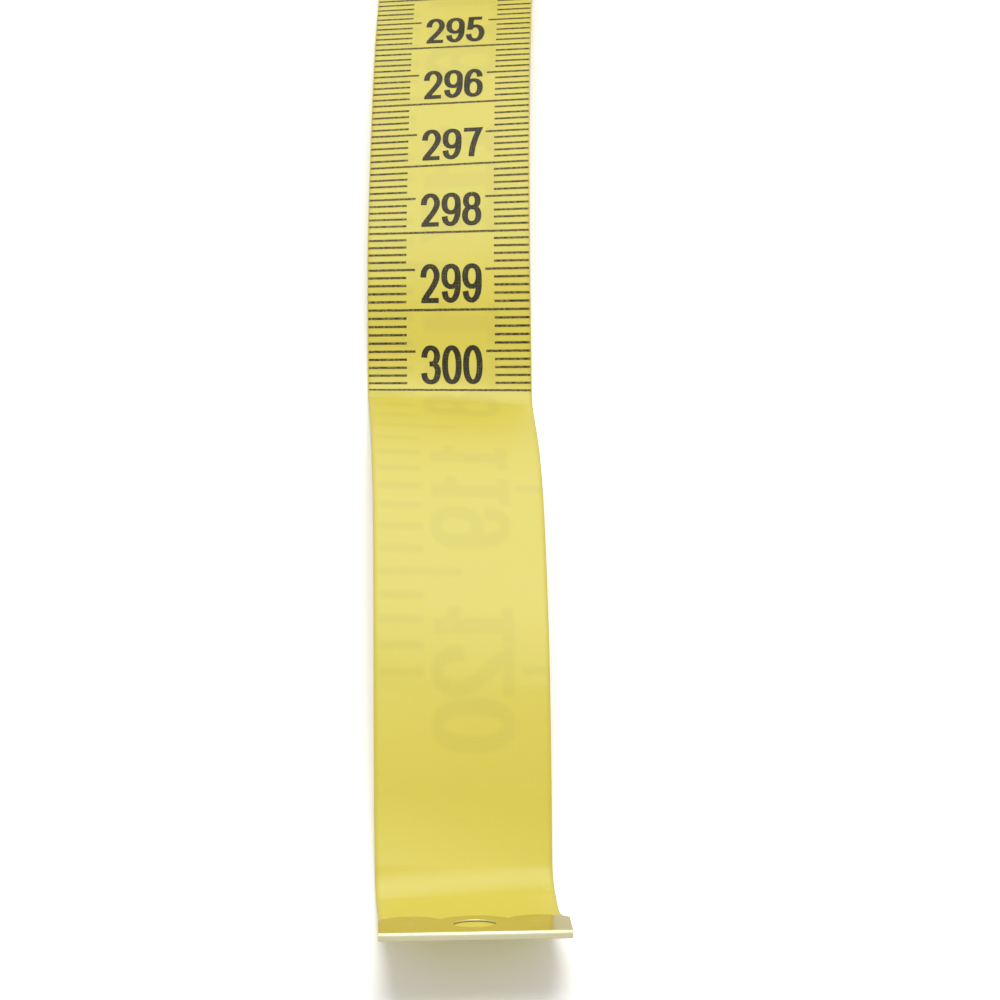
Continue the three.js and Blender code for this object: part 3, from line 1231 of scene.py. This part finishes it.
@dataclass
class ClothStrip:
    """The coated strip: one closed sheet from the start in the roll to the end in the tip.

    It has few columns in the roll and many on the free stretch, and its right edge flares into the end tip.
    Each rounded edge has points between the faces and the rim, at shares of its round and of half the
    thickness. The blur is how far the print of the other face spreads as it shows through.
    """

    path: TapePath
    edge_round: float = 0.00016
    edge_inset: float = 0.27
    edge_height: float = 0.62
    coarse_columns: int = 8
    fine_columns: int = 58
    fine_before_run: float = 0.012
    blur: float = 0.0007
    flare: float = 0.0004
    flare_length: float = 0.0025
    flare_power: float = 1.5

    def build(
        self,
        trees: PrintTrees,
        layout: Mapping[str, Any],
        chain: bpy.types.Object,
        cloth: bpy.types.Material,
    ) -> bpy.types.Object:
        """Makes the strip flat and wraps it on the path.

        Args:
            trees: The Geometry Nodes trees.
            layout: The inputs of the inch face's layout, which shows through.
            chain: The path as a chain of edges.
            cloth: The strip's material.

        Returns:
            The strip.
        """
        values = dict(layout) | {"Blur": self.blur, "Path": chain, "Lift": 0.0, "Cloth": cloth}
        strip = grown("tape", trees.strip, values, self._flat_mesh())
        strip.data.shade_smooth()
        return strip

    def _loop(self, columns: int, right: float) -> tuple[list[Point], int]:
        """One section of the strip.

        Args:
            columns: How many columns its upper face has.
            right: How far the right edge lies from the middle.

        Returns:
            The section's points, the upper face's first from left to right, and the count of those.
        """
        half, deep = self.path.width / 2, self.path.thickness / 2
        flat_left, flat_right = -half + self.edge_round, right - self.edge_round
        inset, level = self.edge_round * self.edge_inset, deep * self.edge_height
        upper = [(x, deep) for x in np.linspace(flat_left, flat_right, columns + 1)]
        right_edge = [(right - inset, level), (right, 0.0), (right - inset, -level)]
        lower = [(x, -deep) for x in np.linspace(flat_right, flat_left, self.coarse_columns + 1)]
        left_edge = [(-half + inset, -level), (-half, 0.0), (-half + inset, level)]
        return upper + right_edge + lower + left_edge, len(upper)

    def _flat_mesh(self) -> bpy.types.Mesh:
        """Makes the closed strip laid flat.

        Returns:
            The mesh, with y as the distance along the tape.
        """
        points: list[Place] = []
        faces: list[Corners] = []
        rows: list[tuple[list[int], int]] = []
        fine_from = self.path.run_start - self.fine_before_run
        tip_mouth = self.path.length - self.path.tip_cover
        for distance in self.path.distance:
            columns = self.coarse_columns if distance < fine_from else self.fine_columns
            spread = np.clip((distance - tip_mouth + self.flare_length) / self.flare_length, 0, 1)
            loop, upper = self._loop(columns, self.path.width / 2 + self.flare * spread**self.flare_power)
            rows.append((list(range(len(points), len(points) + len(loop))), upper))
            points += [(x, float(distance), z) for x, z in loop]
        for (here, upper), (there, next_upper) in zip(rows, rows[1:]):
            faces += self._joined(points, here[:upper], there[:next_upper])
            faces += self._joined_even(here[upper - 1:] + here[:1], there[next_upper - 1:] + there[:1])
        faces += [tuple(rows[0][0]), tuple(reversed(rows[-1][0]))]
        mesh = bpy.data.meshes.new("tape_flat")
        mesh.from_pydata(points, [], faces)
        return mesh

    @staticmethod
    def _joined_even(here: Sequence[int], there: Sequence[int]) -> list[Corners]:
        """Four-sided faces between two rows of as many points."""
        return [(here[k], there[k], there[k + 1], here[k + 1]) for k in range(len(here) - 1)]

    def _joined(self, points: Sequence[Place], here: Sequence[int], there: Sequence[int]) -> list[Corners]:
        """Faces between two rows of the upper face, which may have different numbers of points.

        Args:
            points: All points.
            here: The point numbers of the first row, from left to right.
            there: The point numbers of the second row.

        Returns:
            The faces.
        """
        if len(here) == len(there):
            return self._joined_even(here, there)
        faces, i, j = [], 0, 0
        while i < len(here) - 1 or j < len(there) - 1:
            step_here = j == len(there) - 1 or (
                i < len(here) - 1 and points[here[i + 1]][0] <= points[there[j + 1]][0]
            )
            if step_here:
                faces.append((here[i], there[j], here[i + 1]))
                i += 1
            else:
                faces.append((here[i], there[j], there[j + 1]))
                j += 1
        return faces


@dataclass(frozen=True)
class PrintedScale:
    """One face's scale: two rows of ticks, a row of numbers and the figures that they are set in."""

    face: Face
    left: TickRow
    right: TickRow
    numbers: NumberRow
    figures: Figures
    ink_lift: float = 0.000016

    @classmethod
    def centimetres(cls, edge: float, last: int = 300) -> PrintedScale:
        """The scale in centimetres: a line across for each, and ticks for each millimetre on both edges.

        Args:
            edge: How far from the tape's middle the print starts, in metres.
            last: The last number.

        Returns:
            The scale.
        """
        every = {"count": last * 10 + 1, "pitch": MM, "middle_every": 5, "long_every": 10}
        row = every | {"long": edge, "stroke": 0.00029}
        return cls(
            Face.CENTIMETRE,
            TickRow(edge=-edge, inward=1.0, short=0.00455, middle=0.0056, **row),
            TickRow(edge=edge, inward=-1.0, short=0.0042, middle=0.00525, **row),
            NumberRow(count=last, pitch=10 * MM, advance=(0.0025, 0.0, 0.0), base=(0.00027, -0.00083, 0.0)),
            Figures(height=0.0049, width=0.00234, pen=Pen(upright=0.00071, level=0.00062)),
        )

    @classmethod
    def inches(cls, edge: float, last: int = 120, inset: float = 0.0008) -> PrintedScale:
        """The scale in inches: eighths on one edge, whole inches on the other, and large numbers.

        Args:
            edge: How far from the tape's middle the print starts, in metres.
            last: The last number.
            inset: How far inside the edge the eighths start.

        Returns:
            The scale.
        """
        eighths = {"count": last * 8 + 1, "pitch": INCH / 8, "middle_every": 4, "long_every": 8}
        wholes = {"count": last + 1, "pitch": INCH, "middle_every": 1, "long_every": 1}
        size = {"short": 0.0043, "middle": 0.0087, "long": 0.0043, "stroke": 0.00034}
        stub = {"short": 0.0027, "middle": 0.0027, "long": 0.0027, "stroke": 0.00034}
        return cls(
            Face.INCH,
            TickRow(edge=-edge + inset, inward=1.0, **eighths, **size),
            TickRow(edge=edge, inward=-1.0, **wholes, **stub),
            NumberRow(count=last, pitch=INCH, advance=(0.0, 0.0062, 0.0), base=(0.00125, 0.0, 0.0)),
            Figures(height=0.0085, width=0.0056, pen=Pen(upright=0.0013, level=0.0006), slab=0.9),
        )

    def layout(self, shelf: bpy.types.Collection) -> dict[str, Any]:
        """The scale's values under the input names of the layout tree."""
        rows = self.left.inputs("Left") | self.right.inputs("Right") | self.numbers.inputs("Number")
        return rows | {"Number Figures": shelf}

    def build(
        self,
        name: str,
        path: TapePath,
        trees: PrintTrees,
        shelf: bpy.types.Collection,
        chain: bpy.types.Object,
        ink: bpy.types.Material,
    ) -> bpy.types.Object:
        """Prints the scale on its face of the tape.

        Args:
            name: The piece's name.
            path: The tape's path.
            trees: The Geometry Nodes trees.
            shelf: The figures.
            chain: The path as a chain of edges.
            ink: The ink's material.

        Returns:
            The print, a film that lies on the coat.
        """
        lift = self.face.value * (path.thickness / 2 + self.ink_lift)
        values = self.layout(shelf) | {"Path": chain, "Lift": lift, "Ink": ink}
        film = grown(name, trees.print, values, bpy.data.meshes.new(name + "_base"))
        self._face_outwards(film.data, path)
        return film

    def _face_outwards(self, mesh: bpy.types.Mesh, path: TapePath) -> None:
        """Turns each face of the film so that it looks away from the cloth.

        Args:
            mesh: The film's mesh.
            path: The tape's path.
        """
        flat = np.zeros(len(mesh.vertices) * 3, np.float32)
        mesh.attributes["flat"].data.foreach_get("vector", flat)
        distance = flat.reshape(-1, 3)[:, 1]
        facing = np.stack([np.interp(distance, path.distance, path.facing[:, k]) for k in range(3)], 1)
        work = bmesh.new()
        work.from_mesh(mesh)
        for polygon in work.faces:
            outwards = Vector(facing[polygon.verts[0].index]) * self.face.value
            if polygon.normal.dot(outwards) < 0:
                polygon.normal_flip()
        work.to_mesh(mesh)
        work.free()


@dataclass
class FoldedTip:
    """A folded sheet-metal tip, made from its solid with its edges rounded.

    The station is the end of the path that it sits on, 0 or -1. Angles are in degrees. The two levels say
    how nearly a face lies along the tape when it counts as part of a plate or of a dimple.
    """

    node: str
    piece: str
    path: TapePath
    station: int
    askew: float = 0.0
    weld: float = 1e-6
    same_plane: float = 1.0
    edge_radius: float = 0.00004
    edge_segments: int = 2
    crease: float = 35.0
    bend_zone: float = 0.0004
    plate_level: float = 0.9995
    dimple_level: float = 0.97
    dimple_wear: float = 0.6

    def build(self, frame: Mapping[str, Any], metal: bpy.types.Material) -> bpy.types.Object:
        """Makes the tip.

        Args:
            metal: The tip's material.

        Returns:
            The tip.
        """
        source = frame["nodes"][self.node]
        crease = math.radians(self.crease)
        work = bmesh.new()
        work.from_mesh(source.data)
        work.transform(source.matrix_world)
        self._seat(work)
        bmesh.ops.remove_doubles(work, verts=work.verts, dist=self.weld)
        same_plane = math.radians(self.same_plane)
        bmesh.ops.dissolve_limit(work, angle_limit=same_plane, verts=work.verts, edges=work.edges)
        bmesh.ops.bevel(
            work,
            geom=[e for e in work.edges if e.is_manifold and e.calc_face_angle() > crease],
            offset=self.edge_radius,
            offset_type="OFFSET",
            segments=self.edge_segments,
            profile=0.5,
            affect="EDGES",
            clamp_overlap=True,
        )
        bmesh.ops.triangulate(work, faces=work.faces)
        mesh = bpy.data.meshes.new(self.piece)
        work.to_mesh(mesh)
        work.free()
        mesh.shade_smooth()
        mesh.set_sharp_from_angle(angle=crease)
        self._mark_bend(mesh)
        mesh.materials.append(metal)
        return new_object(self.piece, mesh)

    def _seat(self, work: bmesh.types.BMesh) -> None:
        """Puts the tip's middle on the middle of the strip's end, with its plates cut a little askew.

        Args:
            work: The tip's mesh, in its place.
        """
        place, across = Vector(self.path.place[self.station]), Vector(self.path.across[self.station])
        middle = sum((v.co for v in work.verts), Vector()) / len(work.verts)
        centring = (place - middle).dot(across)
        for vertex in work.verts:
            inwards = -(vertex.co - place).dot(self._outwards())
            vertex.co += across * (centring + inwards * math.tan(math.radians(self.askew)))

    def _outwards(self) -> Vector:
        """The direction in which the strip's end points."""
        along = Vector(self.path.across[self.station]).cross(Vector(self.path.facing[self.station]))
        return along if self.station else -along

    def _mark_bend(self, mesh: bpy.types.Mesh) -> None:
        """Creases the plates' outlines, and stores which faces are bent as an attribute for the finish.

        Args:
            mesh: The tip's finished mesh.
        """
        place, facing = Vector(self.path.place[self.station]), Vector(self.path.facing[self.station])
        level = np.array([abs(polygon.normal.dot(facing)) for polygon in mesh.polygons])
        reach = np.array([(polygon.center - place).dot(self._outwards()) for polygon in mesh.polygons])
        flat = level > self.plate_level
        dimple = np.where((level > self.dimple_level) & ~flat, self.dimple_wear, 0.0)
        bend = np.where(~flat & (reach > -self.bend_zone), 1.0, dimple)
        mesh.attributes.new("bend", "FLOAT", "FACE").data.foreach_set("value", bend)
        flat_sides = np.zeros(len(mesh.edges), int)
        for polygon in mesh.polygons:
            flat_sides[[mesh.loops[k].edge_index for k in polygon.loop_indices]] += int(flat[polygon.index])
        for edge in np.flatnonzero(flat_sides == 1):
            mesh.edges[edge].use_edge_sharp = True


@dataclass(frozen=True)
class AreaLamp:
    """One soft lamp: where it stands, where it points, how large it is, how strong, and what it lights."""

    name: str
    place: Place
    target: Place
    size: float
    power: float
    sheen: bool = True
    shade: bool = True

    def build(self) -> None:
        """Puts the lamp into the scene."""
        lamp = bpy.data.lights.new(self.name, "AREA")
        lamp.shape, lamp.size, lamp.energy = "DISK", self.size, self.power
        made = bpy.data.objects.new(self.name, lamp)
        made.location = self.place
        made.visible_glossy, made.visible_diffuse = self.sheen, self.shade
        made.rotation_euler = (Vector(self.target) - Vector(self.place)).to_track_quat("-Z", "Y").to_euler()
        bpy.context.scene.collection.objects.link(made)


@dataclass
class Studio:
    """The pale table, the soft light and the camera.

    The camera is placed from a mark on the tape. The offset says how far to its right, below it and in
    front of it the mark lies. The floor and the sky have one brightness for the camera and another for the
    light that they give.
    """

    path: TapePath
    aim_mark: float = 3.0
    aim_offset: Place = (-0.00595, -0.01297, 0.4875)
    elevation: float = 53.5
    azimuth: float = 1.81
    lens: float = 147.6
    sensor: float = 36.0
    clip: Point = (0.01, 20.0)
    floor_size: float = 6.0
    floor_seen: float = 1.3
    floor_real: float = 0.80
    floor_roughness: float = 0.9
    sky: float = 0.44
    sky_mirrored: float = 0.78
    sky_seen: float = 1.0
    lamps: tuple[AreaLamp, ...] = (
        AreaLamp("sheen", (0.05, 0.45, 0.92), (0.0, -0.04, 0.0), size=0.9, power=4.0, shade=False),
        AreaLamp("top", (0.03, -0.08, 0.98), (0.0, -0.06, 0.0), size=0.4, power=5.1, sheen=False),
        AreaLamp("back", (0.0, 0.90, 0.35), (0.0, -0.04, 0.0), size=0.8, power=2.1),
    )

    def build(self) -> None:
        """Makes the floor, the light and the camera."""
        self._floor()
        self._world()
        for lamp in self.lamps:
            lamp.build()
        self._camera()
        bpy.context.scene.view_settings.view_transform = "Standard"

    @staticmethod
    def _seen(b: TreeBuilder, ray: bpy.types.NodeOutputs) -> bpy.types.NodeSocket:
        """Whether a ray comes from the camera, straight or through a clear piece."""
        return b.math("MAXIMUM", ray["Is Camera Ray"], ray["Is Transmission Ray"])

    def _floor(self) -> None:
        """Makes a large flat table."""
        mesh = bpy.data.meshes.new("floor")
        half = self.floor_size / 2
        corners = [(-half, -half, 0), (half, -half, 0), (half, half, 0), (-half, half, 0)]
        mesh.from_pydata(corners, [], [(0, 1, 2, 3)])
        b = MaterialBuilder("pale_table")
        seen = self._seen(b, b.node("ShaderNodeLightPath").outputs)
        colour = b.mixed(seen, (self.floor_real,) * 3, (self.floor_seen,) * 3)
        surface = {"Base Color": colour, "Roughness": self.floor_roughness, "Specular IOR Level": 0.0}
        mesh.materials.append(b.ended(surface))
        new_object("floor", mesh)

    def _world(self) -> None:
        """Makes an even white surrounding."""
        world = bpy.data.worlds.new("studio")
        world.use_nodes = True
        b = TreeBuilder(world.node_tree)
        back = next(n for n in world.node_tree.nodes if n.type == "BACKGROUND")
        ray = b.node("ShaderNodeLightPath").outputs
        level = b.math("MULTIPLY_ADD", ray["Is Glossy Ray"], self.sky_mirrored - self.sky, self.sky)
        level = b.math("MULTIPLY_ADD", self._seen(b, ray), self.sky_seen - self.sky, level)
        b.feed(back.inputs["Color"], WHITE)
        b.feed(back.inputs["Strength"], level)
        bpy.context.scene.world = world

    def _camera(self) -> None:
        """Places the camera so that the mark falls where the photograph has it."""
        rise, turn = math.radians(self.elevation), math.radians(self.azimuth)
        level = math.cos(rise)
        forward = Vector((-math.sin(turn) * level, math.cos(turn) * level, -math.sin(rise)))
        right = Vector((math.cos(turn), math.sin(turn), 0))
        down = forward.cross(right)
        x, y, z = self.aim_offset
        place = self.path.at(self.aim_mark) - right * x - down * y - forward * z
        camera = bpy.data.cameras.new("camera")
        camera.lens, camera.sensor_width = self.lens, self.sensor
        camera.clip_start, camera.clip_end = self.clip
        made = bpy.data.objects.new("camera", camera)
        turned_to = Matrix((right, -down, -forward)).transposed().to_4x4()
        made.matrix_world = Matrix.Translation(place) @ turned_to
        bpy.context.scene.collection.objects.link(made)
        bpy.context.scene.camera = made


@dataclass
class TapeMeasure:
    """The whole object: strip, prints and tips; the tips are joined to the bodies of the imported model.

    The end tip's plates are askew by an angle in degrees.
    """

    frame: Mapping[str, Any]
    path: TapePath = field(default_factory=TapePath)
    print_margin: float = 0.00012
    askew: float = 2.2
    bend_before: float = 0.004
    bend_after: float = 0.014

    def build(self) -> list[bpy.types.Object]:
        """Builds the pieces in order and joins the tips to their bodies.

        Returns:
            The pieces.
        """
        self.path.lay()
        chain = self.path.chain()
        groups, trees = FinishGroups(), PrintTrees()
        cloth, ink, metal = CoatedCloth().make(groups), PrintInk().make(groups), TipMetal().make(groups)
        edge = self.path.width / 2 - self.print_margin
        front, back = PrintedScale.centimetres(edge), PrintedScale.inches(edge)
        front_shelf, back_shelf = front.figures.shelf(Face.CENTIMETRE), back.figures.shelf(Face.INCH)

        strip = ClothStrip(self.path).build(trees, back.layout(back_shelf), chain, cloth)
        front_print = front.build("front_print", self.path, trees, front_shelf, chain, ink)
        back_print = back.build("back_print", self.path, trees, back_shelf, chain, ink)
        start_tip = FoldedTip("start_tip", "start_tip_metal", self.path, 0).build(self.frame, metal)
        end_tip = FoldedTip("end_tip", "end_tip_metal", self.path, -1, self.askew).build(self.frame, metal)
        self._clear(chain, front_shelf, back_shelf)

        hinge = self.path.at(self.path.run_start)
        for piece in (strip, front_print, back_print):
            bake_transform(piece)
        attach(start_tip, "roll")
        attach(end_tip, "run")
        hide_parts("tape_roll", "tape_lead", "tape_run")
        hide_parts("start_tip")
        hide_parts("end_tip")
        return [strip, front_print, back_print, start_tip, end_tip]

    @staticmethod
    def _clear(chain: bpy.types.Object, *shelves: bpy.types.Collection) -> None:
        """Removes what the pieces were made from.

        Args:
            chain: The path as a chain of edges.
            shelves: The figures of the two faces.
        """
        bpy.data.objects.remove(chain)
        for shelf in shelves:
            for figure in list(shelf.objects):
                bpy.data.objects.remove(figure)
            bpy.data.collections.remove(shelf)


def main() -> None:
    """Loads the frame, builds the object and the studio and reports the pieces."""
    logging.basicConfig(level=logging.INFO, format="%(message)s")
    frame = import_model()
    tape_measure = TapeMeasure(frame)
    for piece in tape_measure.build():
        LOG.info("%s: %d faces", piece.name, len(piece.data.polygons))
    studio = Studio(tape_measure.path)
    studio.build()
    mark = tuple(tape_measure.path.at(studio.aim_mark))
    LOG.info("tape %.4f m long, 300 line at %s", tape_measure.path.distance[-1], mark)


if __name__ == "__main__":
    main()
